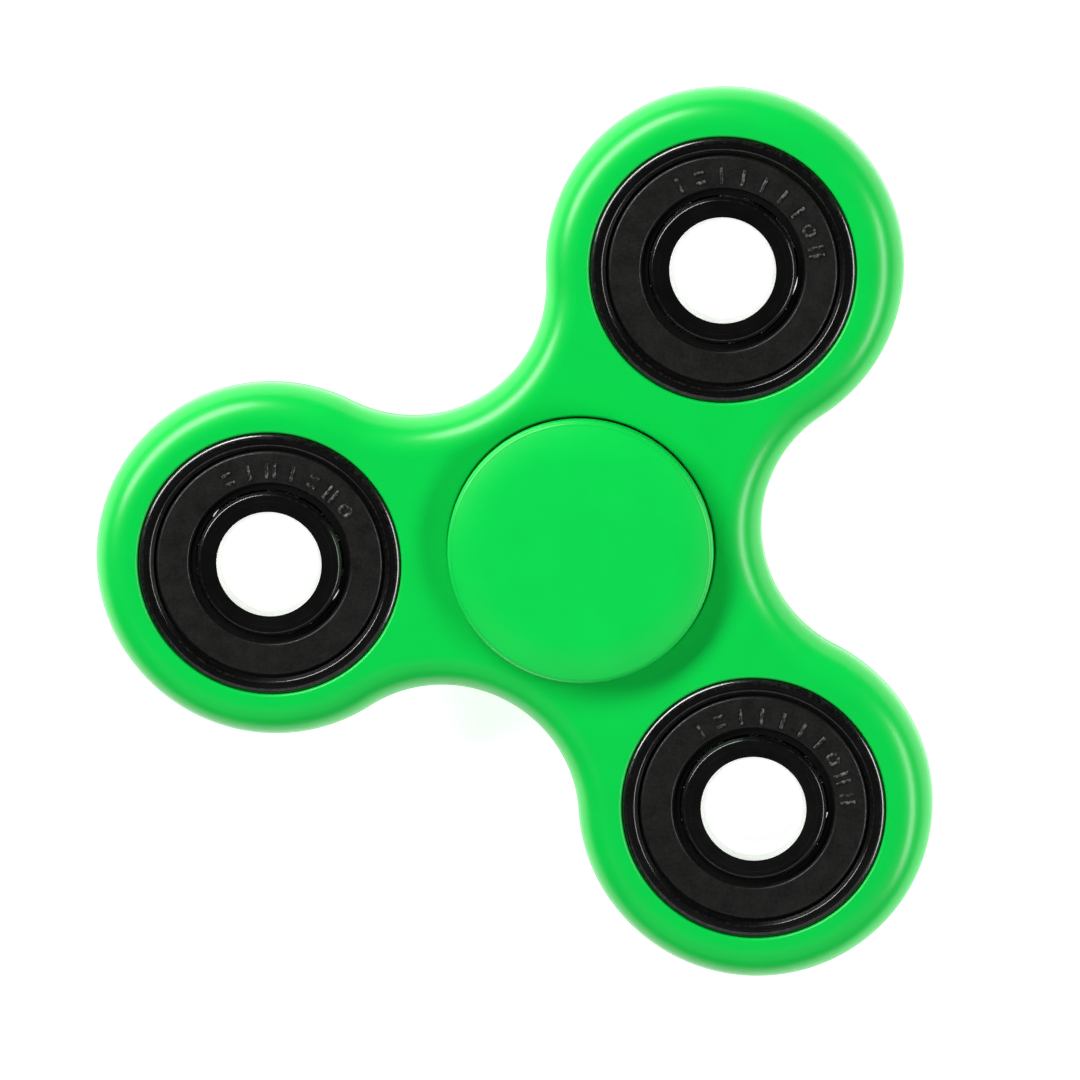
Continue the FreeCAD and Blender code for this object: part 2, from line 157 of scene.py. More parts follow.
def new_tree(name, inputs):
    """A Geometry Nodes tree with named inputs and one geometry output."""
    tree = bpy.data.node_groups.new(name, "GeometryNodeTree")
    for label, kind, value in inputs:
        socket = tree.interface.new_socket(label, in_out="INPUT", socket_type=kind)
        if value is not None:
            socket.default_value = value
    tree.interface.new_socket("Geometry", in_out="OUTPUT", socket_type="NodeSocketGeometry")
    return tree


def set_input(tree, socket, value):
    """Link a socket to another node's output, or give it a fixed value."""
    if hasattr(value, "is_output"):
        tree.links.new(value, socket)
    else:
        socket.default_value = value


def node(tree, kind, inputs=None, output=0, **settings):
    """One node, set and linked. Returns one of its outputs."""
    made = tree.nodes.new(kind)
    for name, value in settings.items():
        setattr(made, name, value)
    for name, value in (inputs or {}).items():
        set_input(tree, made.inputs[name], value)
    return made.outputs[output]


def maths(tree, operation, first, second=0.0, third=0.0):
    """The result of a Math node."""
    return node(tree, "ShaderNodeMath", {0: first, 1: second, 2: third}, operation=operation)


def vector_of(tree, x=0.0, y=0.0, z=0.0):
    """A vector from its three coordinates."""
    return node(tree, "ShaderNodeCombineXYZ", {0: x, 1: y, 2: z})


def joined(tree, *parts):
    """Several geometries as one, in the order given."""
    join = tree.nodes.new("GeometryNodeJoinGeometry")
    for part in reversed(parts):
        tree.links.new(part, join.inputs[0])
    return join.outputs[0]


def around_centres(tree, curve, distance, count, first_angle):
    """Copies of a curve drawn about the origin, set out around Z at a distance.

    They are a third of a turn apart, and each keeps its own centre in the attribute "corner".
    """
    index = node(tree, "GeometryNodeInputIndex")
    angle = maths(tree, "MULTIPLY_ADD", index, 2 * math.pi / 3, first_angle)
    place = vector_of(
        tree,
        maths(tree, "MULTIPLY", maths(tree, "COSINE", angle), distance),
        maths(tree, "MULTIPLY", maths(tree, "SINE", angle), distance),
    )
    points = node(tree, "GeometryNodePoints", {"Count": count, "Position": place})
    marked = node(
        tree,
        "GeometryNodeStoreNamedAttribute",
        {"Geometry": points, "Name": "corner", "Value": node(tree, "GeometryNodeInputPosition")},
        data_type="FLOAT_VECTOR",
        domain="POINT",
    )
    copies = node(
        tree,
        "GeometryNodeInstanceOnPoints",
        {"Points": marked, "Instance": curve, "Rotation": vector_of(tree, 0.0, 0.0, angle)},
    )
    return node(tree, "GeometryNodeRealizeInstances", {"Geometry": copies})


def corner_arcs(tree, radius, distance, first_angle, sweep, steps, inward=False):
    """The outline's arcs of one kind, three around the hub."""
    arc = node(
        tree,
        "GeometryNodeCurveArc",
        {
            "Resolution": steps + 1,
            "Radius": radius,
            "Start Angle": (math.pi if inward else 0.0) - sweep / 2,
            "Sweep Angle": sweep,
        },
        mode="RADIUS",
    )
    return around_centres(tree, arc, distance, 3, first_angle)


def rounded_wall(tree, paths, facing, thickness, rounding, lead, groove=None):
    """A wall swept along paths, rounded over at both faces, with a groove half way up if given one.

    facing is 1 where the wall looks away from each path's centre, and -1 where it looks towards
    it. A narrow flat lead keeps the faces' shading flat.
    """
    corner = node(tree, "GeometryNodeInputNamedAttribute", {"Name": "corner"}, data_type="FLOAT_VECTOR")
    away = node(
        tree,
        "ShaderNodeVectorMath",
        {0: node(tree, "GeometryNodeInputPosition"), 1: corner},
        operation="SUBTRACT",
    )
    outward = node(
        tree,
        "ShaderNodeVectorMath",
        {0: node(tree, "ShaderNodeVectorMath", {0: away}, operation="NORMALIZE"), "Scale": facing},
        operation="SCALE",
    )
    guided = node(tree, "GeometryNodeSetCurveNormal", {"Curve": paths, "Normal": outward}, mode="FREE")
    half = maths(tree, "MULTIPLY", thickness, 0.5)
    band = maths(tree, "SUBTRACT", half, rounding)
    inset = maths(tree, "MULTIPLY", rounding, -1.0)
    lead_end = maths(tree, "SUBTRACT", inset, lead)
    strips = []
    for side in (1, -1):
        face = maths(tree, "MULTIPLY", half, float(side))
        bend = maths(tree, "MULTIPLY", band, float(side))
        ends = [vector_of(tree, lead_end, face), vector_of(tree, inset, face)]
        if side < 0:
            ends.reverse()
        flat = node(tree, "GeometryNodeCurvePrimitiveLine", {"Start": ends[0], "End": ends[1]})
        quarter = node(
            tree,
            "GeometryNodeCurveArc",
            {
                "Resolution": rounding_steps + 1,
                "Radius": rounding,
                "Start Angle": math.pi / 2 if side > 0 else 0.0,
                "Sweep Angle": -math.pi / 2,
            },
            mode="RADIUS",
        )
        turned_quarter = node(
            tree, "GeometryNodeTransform", {"Geometry": quarter, "Translation": vector_of(tree, inset, bend)}
        )
        strips += [flat, turned_quarter]
    stops = [vector_of(tree, 0.0, band)]
    if groove:
        depth, width = groove
        stops += [vector_of(tree, 0.0, width / 2), vector_of(tree, -depth), vector_of(tree, 0.0, -width / 2)]
    stops.append(vector_of(tree, 0.0, maths(tree, "MULTIPLY", band, -1.0)))
    for start, end in zip(stops, stops[1:]):
        strips.append(node(tree, "GeometryNodeCurvePrimitiveLine", {"Start": start, "End": end}))
    return node(tree, "GeometryNodeCurveToMesh", {"Curve": guided, "Profile Curve": joined(tree, *strips)})


body_tree = new_tree(
    "lobed_body",
    [
        ("Lobe Distance", "NodeSocketFloat", lobe_distance),
        ("Lobe Radius", "NodeSocketFloat", lobe_radius),
        ("Thickness", "NodeSocketFloat", body_thickness),
        ("Rim Rounding", "NodeSocketFloat", rim_rounding),
        ("Pocket Radius", "NodeSocketFloat", pocket_radius),
        ("Mouth Rounding", "NodeSocketFloat", mouth_rounding),
        ("Plastic", "NodeSocketMaterial", None),
    ],
)
entry = body_tree.nodes.new("NodeGroupInput").outputs
waist = maths(body_tree, "SUBTRACT", entry["Lobe Distance"], entry["Lobe Radius"])
edge_inset = maths(body_tree, "ADD", entry["Rim Rounding"], flat_lead)
lobe_sweep, waist_sweep = math.radians(240), math.radians(120)
walls = [
    rounded_wall(
        body_tree,
        corner_arcs(body_tree, radius, entry["Lobe Distance"], first, sweep, steps, inward),
        -1.0 if inward else 1.0,
        entry["Thickness"],
        entry["Rim Rounding"],
        flat_lead,
        (parting_line_depth, parting_line_width),
    )
    for radius, first, sweep, steps, inward in (
        (entry["Lobe Radius"], math.pi / 3, lobe_sweep, lobe_steps, False),
        (waist, 0.0, waist_sweep, waist_steps, True),
    )
]
flat_lobes = corner_arcs(
    body_tree,
    maths(body_tree, "SUBTRACT", entry["Lobe Radius"], edge_inset),
    entry["Lobe Distance"],
    math.pi / 3,
    lobe_sweep,
    lobe_steps,
)
flat_waists = corner_arcs(
    body_tree,
    maths(body_tree, "ADD", waist, edge_inset),
    entry["Lobe Distance"],
    0.0,
    waist_sweep,
    waist_steps,
    True,
)
flat_path = joined(body_tree, flat_lobes, flat_waists)
flat_loop = node(
    body_tree,
    "GeometryNodeMergeByDistance",
    {
        "Geometry": node(body_tree, "GeometryNodeCurveToMesh", {"Curve": flat_path}),
        "Distance": weld_gap / 2,
    },
)
flat_outline = node(body_tree, "GeometryNodeMeshToCurve", {"Mesh": flat_loop})


def pocket_circles(radius):
    """A circle in each lobe and one about the hub."""
    circle = node(
        body_tree,
        "GeometryNodeCurvePrimitiveCircle",
        {"Resolution": pocket_steps, "Radius": radius},
        mode="RADIUS",
    )
    lobes = around_centres(body_tree, circle, entry["Lobe Distance"], 3, math.pi / 3)
    return joined(body_tree, lobes, around_centres(body_tree, circle, 0.0, 1, 0.0))


walls.append(
    rounded_wall(
        body_tree,
        pocket_circles(entry["Pocket Radius"]),
        -1.0,
        entry["Thickness"],
        entry["Mouth Rounding"],
        flat_lead,
    )
)
mouth_reach = maths(body_tree, "ADD", entry["Mouth Rounding"], flat_lead)
flat_pockets = pocket_circles(maths(body_tree, "ADD", entry["Pocket Radius"], mouth_reach))
flat_edges = joined(body_tree, flat_outline, flat_pockets)
flat_face = node(body_tree, "GeometryNodeFillCurve", {"Curve": flat_edges}, mode="TRIANGLES")
faces = []
for side in (0.5, -0.5):
    lift = vector_of(body_tree, 0.0, 0.0, maths(body_tree, "MULTIPLY", entry["Thickness"], side))
    faces.append(node(body_tree, "GeometryNodeTransform", {"Geometry": flat_face, "Translation": lift}))
closed = node(
    body_tree,
    "GeometryNodeMergeByDistance",
    {"Geometry": joined(body_tree, *walls, *faces), "Distance": weld_gap},
)
whole = node(body_tree, "GeometryNodeRealizeInstances", {"Geometry": closed})
coated = node(body_tree, "GeometryNodeSetMaterial", {"Geometry": whole, "Material": entry["Plastic"]})
set_input(body_tree, body_tree.nodes.new("NodeGroupOutput").inputs[0], coated)


def made_by(tree, name, values):
    """A plain mesh object from a tree, with the tree's named inputs given."""
    holder = bpy.data.objects.new(f"{name}_holder", bpy.data.meshes.new(f"{name}_holder"))
    scene.collection.objects.link(holder)
    growth = holder.modifiers.new("growth", "NODES")
    growth.node_group = tree
    for item in tree.interface.items_tree:
        if item.in_out == "INPUT" and item.name in values:
            growth[item.identifier] = values[item.name]
    evaluated = holder.evaluated_get(bpy.context.evaluated_depsgraph_get())
    mesh = bpy.data.meshes.new_from_object(evaluated)
    bpy.data.objects.remove(holder)
    return finished(name, mesh)


def finished(name, mesh):
    """A smooth object whose faces all look outwards."""
    tidy = bmesh.new()
    tidy.from_mesh(mesh)
    bmesh.ops.remove_doubles(tidy, verts=tidy.verts, dist=double_vertex_gap)
    bmesh.ops.recalc_face_normals(tidy, faces=tidy.faces)
    if tidy.calc_volume(signed=True) < 0:
        bmesh.ops.reverse_faces(tidy, faces=tidy.faces)
    tidy.to_mesh(mesh)
    tidy.free()
    mesh.name = name
    mesh.shade_smooth()
    mesh.set_sharp_from_angle(angle=crease_angle)
    piece = bpy.data.objects.new(name, mesh)
    scene.collection.objects.link(piece)
    return piece


def grouped(tree, group, inputs):
    """The outputs of a shader node group placed in a material, with its inputs set or linked."""
    made = tree.nodes.new("ShaderNodeGroup")
    made.node_tree = group
    for name, value in inputs.items():
        set_input(tree, made.inputs[name], value)
    return made.outputs


def between(tree, share, first, second):
    """The first colour where the share is 0, the second where it is 1.

    A colour Mix node has the share in socket 0, the colours in 6 and 7 and its result in output 2.
    """
    return node(tree, "ShaderNodeMix", {0: share, 6: first, 7: second}, output=2, data_type="RGBA")


def noise_of(tree, place, scale, detail):
    """Noise over a place, with about as many features to the metre as its scale."""
    return node(tree, "ShaderNodeTexNoise", {"Vector": place, "Scale": scale, "Detail": detail})


def stepped(tree, value, low, high):
    """0 below the low value, 1 above the high one, and a ramp between them."""
    return node(tree, "ShaderNodeMapRange", {"Value": value, "From Min": low, "From Max": high})


def bumped(tree, height, strength, distance):
    """A surface normal bumped by a height."""
    return node(tree, "ShaderNodeBump", {"Height": height, "Strength": strength, "Distance": distance})


def shader_group(name, inputs, outputs):
    """A shader node group with named inputs and outputs."""
    group = bpy.data.node_groups.new(name, "ShaderNodeTree")
    for label, value in inputs:
        group.interface.new_socket(label, in_out="INPUT", socket_type="NodeSocketFloat").default_value = value
    group.interface.new_socket("Place", in_out="INPUT", socket_type="NodeSocketVector")
    for label in outputs:
        group.interface.new_socket(label, in_out="OUTPUT", socket_type="NodeSocketFloat")
    return group


# Moulded skin: a faint orange-peel swell, a fine grain, and hairline rubs from handling.
skin_sizes = [("Swell Size", 4.0 * mm), ("Grain Size", 0.2 * mm)]
skin = shader_group("moulded_skin", skin_sizes, ["Height", "Tone", "Rub"])
skin_in = skin.nodes.new("NodeGroupInput").outputs
skin_out = skin.nodes.new("NodeGroupOutput").inputs
swell = noise_of(skin, skin_in["Place"], maths(skin, "DIVIDE", 1.0, skin_in["Swell Size"]), 2.0)
grain = noise_of(skin, skin_in["Place"], maths(skin, "DIVIDE", 1.0, skin_in["Grain Size"]), 3.0)
set_input(skin, skin_out["Height"], maths(skin, "MULTIPLY_ADD", grain, 0.12, swell))
set_input(skin, skin_out["Tone"], swell)
stretched = node(
    skin,
    "ShaderNodeMapping",
    {"Vector": skin_in["Place"], "Rotation": (0.3, 0.2, 0.9), "Scale": (260.0, 5200.0, 900.0)},
)
hairline = node(
    skin, "ShaderNodeTexNoise", {"Vector": stretched, "Scale": 1.0, "Detail": 1.0, "Roughness": 0.3}
)
set_input(skin, skin_out["Rub"], stepped(skin, hairline, 0.66, 0.74))


def moulded_plastic(name, colour, pale_colour, gloss):
    """Glossy coloured plastic with a moulded skin."""
    plastic, tree, shader = new_material(name)
    surface = grouped(tree, skin, {"Place": node(tree, "ShaderNodeTexCoord", output="Object")})
    set_input(tree, shader["Base Color"], between(tree, surface["Tone"], (*colour, 1), (*pale_colour, 1)))
    set_input(tree, shader["Roughness"], maths(tree, "MULTIPLY_ADD", surface["Rub"], 0.12, gloss))
    set_input(tree, shader["Normal"], bumped(tree, surface["Height"], 0.25, 0.02 * mm))
    shader["IOR"].default_value = 1.54
    shader["Specular IOR Level"].default_value = 0.12
    shader["Coat Weight"].default_value = 0.55
    shader["Coat Roughness"].default_value = 0.27
    return plastic


body_plastic = moulded_plastic("green_body_plastic", (0.0, 0.53, 0.057), (0.0, 0.59, 0.065), 0.35)
moulded_body = made_by(
    body_tree,
    "moulded_body",
    {
        "Lobe Distance": lobe_distance,
        "Lobe Radius": lobe_radius,
        "Thickness": body_thickness,
        "Rim Rounding": rim_rounding,
        "Pocket Radius": pocket_radius,
        "Mouth Rounding": mouth_rounding,
        "Plastic": body_plastic,
    },
)
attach(moulded_body, "rotor")
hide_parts("spinner_body")

# ---------------------------------------------------------------------------
# Finger caps. Two discs of the same green ABS, flat in the middle and gently
# domed towards the edge, whose stems sit in the hub bearing's bore. The front
# cap's pin is pressed into the back cap's socket.

cap_low, cap_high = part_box("front_cap")
cap_radius = cap_high.x
cap_top = cap_high.z
cap_pin_end = cap_low.z
cap_flat_radius = 7.4 * mm
cap_flat_lead = 0.2 * mm
cap_dome_radius = 10.0 * mm
cap_underside = 3.95 * mm
cap_shoulder_radius = 5.25 * mm
cap_stem_radius = 3.98 * mm
cap_stem_end = 0.15 * mm
cap_pin_radius = 2.19 * mm
cap_socket_radius = 2.2 * mm
cap_socket_floor = 3.45 * mm
cap_rim_rounding, cap_brow_rounding = 0.3 * mm, 0.55 * mm
cap_shoulder_rounding, cap_stem_rounding = 0.1 * mm, 0.15 * mm
cap_pin_rounding, cap_socket_rounding = 0.4 * mm, 0.1 * mm
cap_steps, dome_steps = 192, 12
bearing_face = ring_high.z


def bent(corners, steps=7, lead=0.02 * mm):
    """A closed outline of (radius, height, edge) points from corners of (radius, height, rounding).

    Each rounding is an arc whose points have edge 1, with one more point just past each of its
    ends to keep the flats flat.
    """
    outline = []
    for number, (x, z, rounding) in enumerate(corners):
        here = Vector((x, z))
        before = Vector(corners[number - 1][:2]) - here
        after = Vector(corners[(number + 1) % len(corners)][:2]) - here
        if rounding <= 0:
            outline.append((here.x, here.y, 0.0))
            continue
        half_angle = before.angle(after) / 2
        reach = rounding / math.tan(half_angle)
        before.normalize()
        after.normalize()
        middle = here + (before + after).normalized() * rounding / math.sin(half_angle)
        start, end = here + before * reach, here + after * reach
        outline.append((*(start + before * lead), 0.0))
        turn = (start - middle).angle_signed(end - middle)
        for step in range(steps + 1):
            spoke = (start - middle).copy()
            spoke.rotate(Matrix.Rotation(-turn * step / steps, 2))
            outline.append((*(middle + spoke), 1.0))
        outline.append((*(end + after * lead), 0.0))
    return outline


def curve_between(centre, radius, first_angle, last_angle, steps):
    """Unrounded corners along an arc of an outline."""
    corners = []
    for step in range(steps + 1):
        angle = math.radians(first_angle + (last_angle - first_angle) * step / steps)
        corners.append((centre[0] + radius * math.cos(angle), centre[1] + radius * math.sin(angle), 0))
    return corners


def turned(name, outline, place=Vector(), over=False, steps=160, ground_radius=0.0, recess_height=0.0):
    """An outline turned about an upright axis.

    The attribute "along" runs along the outline, "edge" is 1 on rounded corners, "ground" is 1
    inside the ground radius, and "recess" is 1 below the recess height; the rubber paints its
    colour dark there as shade.
    """
    flip = -1 if over else 1
    lengths, run = [], 0.0
    for point, following in zip(outline, outline[1:] + outline[:1]):
        lengths.append(run)
        run += math.dist(point[:2], following[:2])
    vertices, faces = [], []
    for step in range(steps):
        angle = 2 * math.pi * step / steps
        for radius, height, _ in outline:
            vertices.append(
                (place.x + radius * math.cos(angle), place.y + radius * math.sin(angle), place.z + flip * height)
            )
        for number in range(len(outline)):
            following = (number + 1) % len(outline)
            if outline[number][0] == outline[following][0] == 0:
                continue
            row, row_after = step * len(outline), (step + 1) % steps * len(outline)
            faces.append((row + number, row_after + number, row_after + following, row + following))
    mesh = bpy.data.meshes.new(name)
    mesh.from_pydata(vertices, [], faces)
    for label, values in (
        ("along", lengths),
        ("edge", [edge for radius, height, edge in outline]),
        ("ground", [float(radius < ground_radius) for radius, height, edge in outline]),
        ("recess", [float(abs(height) < recess_height) for radius, height, edge in outline]),
    ):
        mesh.attributes.new(label, "FLOAT", "POINT").data.foreach_set("value", values * steps)
    return finished(name, mesh)


cap_plastic = moulded_plastic("green_cap_plastic", (0.0, 0.57, 0.063), (0.0, 0.63, 0.071), 0.4)
dome_tilt = math.degrees(math.asin((cap_radius - cap_flat_radius) / cap_dome_radius))
dome = curve_between(
    (cap_flat_radius, cap_top - cap_dome_radius), cap_dome_radius, 90 - dome_tilt, 90, dome_steps
)
dome_edge = dome.pop(0)
for side, over in (("front", False), ("back", True)):
    if over:
        middle = [
            (0, cap_socket_floor, 0),
            (cap_socket_radius, cap_socket_floor, 0),
            (cap_socket_radius, cap_stem_end, cap_socket_rounding),
        ]
    else:
        middle = [
            (0, cap_pin_end, 0),
            (cap_pin_radius, cap_pin_end, cap_pin_rounding),
            (cap_pin_radius, cap_stem_end, 0),
        ]
    cap_outline = bent(
        middle
        + [
            (cap_stem_radius, cap_stem_end, cap_stem_rounding),
            (cap_stem_radius, bearing_face, 0),
            (cap_shoulder_radius, bearing_face, cap_shoulder_rounding),
            (cap_shoulder_radius, cap_underside, cap_shoulder_rounding),
            (cap_radius, cap_underside, cap_rim_rounding),
            (*dome_edge[:2], cap_brow_rounding),
        ]
        + dome
        + [(cap_flat_radius - cap_flat_lead, cap_top, 0), (0, cap_top, 0)]
    )
    cap = turned(f"{side}_finger_cap", cap_outline, over=over, steps=cap_steps)
    cap.data.materials.append(cap_plastic)
    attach(cap, "grip")
    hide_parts(f"{side}_cap")

# ---------------------------------------------------------------------------
# Bearing rings. Four 608 ball bearings of blackened steel, turned and ground,
# one pressed into each lobe and one in the hub. Their faces keep fine turning
# lines, their bores are ground bright, and their edges are rubbed glossy in
# patches, where their colour is lighter: partly worn oxide, partly a painted glint.

ring_radius = pocket_radius
bore_radius = 4.0 * mm
pitch_radius = 7.5 * mm
race_radius = 2.064 * mm
race_play = 0.04 * mm
ball_radius = 3.969 / 2 * mm
outer_land, inner_land = 8.95 * mm, 6.05 * mm
seat_radius, mouth_radius = 9.8 * mm, 9.65 * mm
seat_floor, seat_ceiling = 2.5 * mm, 3.0 * mm
mouth_lead_in = 0.3 * mm
shoulder_chamfer = 0.25 * mm
bore_edge, bore_edge_depth = bore_radius + 0.38 * mm, 0.8 * mm
ring_rounding, land_rounding, seat_rounding = 0.5 * mm, 0.05 * mm, 0.04 * mm
lead_in_top_rounding, lead_in_foot_rounding = 0.2 * mm, 0.1 * mm
shoulder_top_rounding, shoulder_foot_rounding = 0.16 * mm, 0.12 * mm
bore_edge_rounding, bore_rounding = 0.05 * mm, 0.5 * mm
race_steps = 14
race_offset = race_radius - ball_radius - race_play
race_tilt = math.degrees(math.acos((outer_land - pitch_radius + race_offset) / race_radius))

# Fine concentric lines left by the lathe and the grinder, broken up around the ring.
lathe_lines = shader_group("lathe_lines", [("Along", 0.0), ("Line Width", 0.13 * mm)], ["Height", "Sheen"])
lines_in = lathe_lines.nodes.new("NodeGroupInput").outputs
lines_out = lathe_lines.nodes.new("NodeGroupOutput").inputs
line_number = maths(lathe_lines, "DIVIDE", lines_in["Along"], lines_in["Line Width"])
line_height = node(
    lathe_lines, "ShaderNodeTexNoise", {"W": line_number, "Scale": 1.0, "Detail": 3.0}, noise_dimensions="1D"
)
blotch = noise_of(lathe_lines, lines_in["Place"], 420.0, 3.0)
set_input(lathe_lines, lines_out["Height"], line_height)
set_input(lathe_lines, lines_out["Sheen"], maths(lathe_lines, "MULTIPLY", line_height, blotch))

# Edge wear and glints: a mask of small patches on rounded corners. The materials use it for rubbed gloss, which
# is wear, and for lighter colour, which is a painted glint.
edge_wear_and_glint = shader_group("edge_wear_and_glint", [("Edge", 0.0), ("Patch Size", 0.3 * mm)], ["Wear"])
wear_glint_in = edge_wear_and_glint.nodes.new("NodeGroupInput").outputs
wear_glint_out = edge_wear_and_glint.nodes.new("NodeGroupOutput").inputs
patches = noise_of(edge_wear_and_glint, wear_glint_in["Place"], maths(edge_wear_and_glint, "DIVIDE", 1.0, wear_glint_in["Patch Size"]), 4.0)
patchy = stepped(edge_wear_and_glint, patches, 0.47, 0.62)
set_input(edge_wear_and_glint, wear_glint_out["Wear"], maths(edge_wear_and_glint, "MULTIPLY", wear_glint_in["Edge"], patchy))


def attribute_of(tree, name):
    """One of a piece's own attributes."""
    return node(tree, "ShaderNodeAttribute", output="Fac", attribute_name=name)


def mirrored(corners):
    """The back face's corners from the front's, in the order that carries the outline on."""
    return [(radius, -height, rounding) for radius, height, rounding in reversed(corners)]


ring_steel, steel_tree, steel = new_material("black_ring_steel")
steel_place = node(steel_tree, "ShaderNodeTexCoord", output="Object")
lines = grouped(steel_tree, lathe_lines, {"Along": attribute_of(steel_tree, "along"), "Place": steel_place})
steel_edges = grouped(steel_tree, edge_wear_and_glint, {"Edge": attribute_of(steel_tree, "edge"), "Place": steel_place})
ground = attribute_of(steel_tree, "ground")
# Blackened steel, lighter in colour in the edge mask's patches: partly worn oxide, partly a painted glint.
blackened_and_glint = between(steel_tree, steel_edges["Wear"], (0.001, 0.001, 0.0009, 1), (0.014, 0.0137, 0.013, 1))
set_input(steel_tree, steel["Base Color"], between(steel_tree, ground, blackened_and_glint, (0.96, 0.96, 0.95, 1)))
set_input(steel_tree, steel["Metallic"], ground)
steel_gloss = maths(steel_tree, "MULTIPLY_ADD", lines["Sheen"], 0.25, 0.16)
steel_gloss = maths(steel_tree, "MULTIPLY_ADD", steel_edges["Wear"], -0.12, steel_gloss)
set_input(steel_tree, steel["Roughness"], steel_gloss)
set_input(steel_tree, steel["Normal"], bumped(steel_tree, lines["Height"], 0.3, 0.02 * mm))
steel["IOR"].default_value = 1.75

outer_front = [
    (ring_radius, bearing_face, ring_rounding),
    (mouth_radius + mouth_lead_in, bearing_face, lead_in_top_rounding),
    (mouth_radius, bearing_face - mouth_lead_in, lead_in_foot_rounding),
    (mouth_radius, seat_ceiling, seat_rounding),
    (seat_radius, seat_ceiling, 0),
    (seat_radius, seat_floor, 0),
    (outer_land, seat_floor, land_rounding),
]
outer_race = curve_between((pitch_radius - race_offset, 0), race_radius, race_tilt, -race_tilt, race_steps)
outer_outline = bent(mirrored(outer_front) + outer_front + outer_race)
inner_front = [
    (inner_land, bearing_face - shoulder_chamfer, shoulder_foot_rounding),
    (inner_land - shoulder_chamfer, bearing_face, shoulder_top_rounding),
    (bore_edge, bearing_face, bore_edge_rounding),
    (bore_radius, bearing_face - bore_edge_depth, bore_rounding),
]
inner_race = curve_between(
    (pitch_radius + race_offset, 0), race_radius, 180 + race_tilt, 180 - race_tilt, race_steps
)
inner_outline = bent(mirrored(inner_front) + inner_race + inner_front)
bearing_centres = {"hub": Vector((0, 0, 0)), **lobe_centres}
for bearing, centre in bearing_centres.items():
    inner_body = "grip" if bearing == "hub" else f"{bearing}_inner_ring"
    for ring_name, outline, rides_on in (
        ("outer_ring", outer_outline, "rotor"),
        ("inner_ring", inner_outline, inner_body),
    ):
        ring = turned(f"{bearing}_{ring_name}_steel", outline, centre, ground_radius=bore_edge)
        ring.data.materials.append(ring_steel)
        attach(ring, rides_on)
        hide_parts(f"{bearing}_bearing_{ring_name}")

# ---------------------------------------------------------------------------
# Bearing seals. Matte black nitrile rubber moulded on a thin steel washer, a
# seal pressed into its seat at each face of the outer ring, with a lip that
# clears the inner ring. The lobes' seals carry small raised marks. The marks and
# the seals' rounded edges are rubbed glossy in patches, with pale painted
# highlights there, and the lip's recess is painted dark as shade.

seal_rubber, rubber_tree, rubber = new_material("black_seal_rubber")
rubber_place = node(rubber_tree, "ShaderNodeTexCoord", output="Object")
rubber_grain = noise_of(rubber_tree, rubber_place, 5200.0, 3.0)
rubber_bloom = noise_of(rubber_tree, rubber_place, 700.0, 4.0)
mottle = maths(rubber_tree, "MULTIPLY_ADD", rubber_bloom, 0.35, rubber_grain)
speckle = stepped(rubber_tree, mottle, 0.5, 0.85)
rubber_edge = attribute_of(rubber_tree, "edge")
rubber_edges = grouped(rubber_tree, edge_wear_and_glint, {"Edge": rubber_edge, "Place": rubber_place})
in_recess = attribute_of(rubber_tree, "recess")
raised = attribute_of(rubber_tree, "raised")
# Painted shade: the colour in the lip's recess is set to the darkest rubber, with no speckle.
speckle_and_recess_shade_share = maths(rubber_tree, "MULTIPLY", speckle, maths(rubber_tree, "SUBTRACT", 1.0, in_recess))
speckle_and_recess_shade = between(rubber_tree, speckle_and_recess_shade_share, (0.0008, 0.0008, 0.0007, 1), (0.0075, 0.007, 0.0063, 1))
# Painted highlights: pale colour in the edge mask's patches, a little on the seals' rounded edges and strongly
# on the raised marks.
painted_glint_share = maths(rubber_tree, "MULTIPLY_ADD", raised, 0.9, 0.06)
painted_glint_share = maths(rubber_tree, "MULTIPLY", painted_glint_share, rubber_edges["Wear"])
rubber_colour = between(rubber_tree, painted_glint_share, speckle_and_recess_shade, (0.12, 0.118, 0.113, 1))
set_input(rubber_tree, rubber["Base Color"], rubber_colour)
rubber_gloss = maths(rubber_tree, "MULTIPLY_ADD", rubber_bloom, 0.2, 0.38)
rubber_gloss = maths(rubber_tree, "MULTIPLY_ADD", rubber_edges["Wear"], -0.22, rubber_gloss)
rubber_gloss = maths(rubber_tree, "MULTIPLY_ADD", in_recess, 0.3, rubber_gloss)
set_input(rubber_tree, rubber["Roughness"], rubber_gloss)
set_input(rubber_tree, rubber["Specular IOR Level"], maths(rubber_tree, "MULTIPLY_ADD", in_recess, -0.2, 0.3))
set_input(rubber_tree, rubber["Normal"], bumped(rubber_tree, rubber_grain, 0.35, 0.012 * mm))
rubber["IOR"].default_value = 1.52

seal_back, seal_rim, seal_face = 2.6 * mm, 2.9 * mm, 3.2 * mm
lip_face, recess_height = 2.85 * mm, 3.0 * mm
lip_inside, lip_outside = inner_land + 0.1 * mm, inner_land + 0.6 * mm
lip_slope = 0.16 * mm
rim_radius = seat_radius - 0.05 * mm
rim_step_radius = mouth_radius - 0.1 * mm
face_radius = mouth_radius - 0.35 * mm
crisp_rounding, lip_rounding = 0.05 * mm, 0.06 * mm
face_outer_rounding, face_inner_rounding = 0.28 * mm, 0.2 * mm
seal_outline = bent(
    [
        (lip_inside, seal_back, lip_rounding),
        (rim_radius, seal_back, crisp_rounding),
        (rim_radius, seal_rim, crisp_rounding),
        (rim_step_radius, seal_rim, crisp_rounding),
        (face_radius, seal_face, face_outer_rounding),
        (lip_outside + lip_slope, seal_face, face_inner_rounding),
        (lip_outside, lip_face, crisp_rounding),
        (lip_inside, lip_face, lip_rounding),
    ]
)

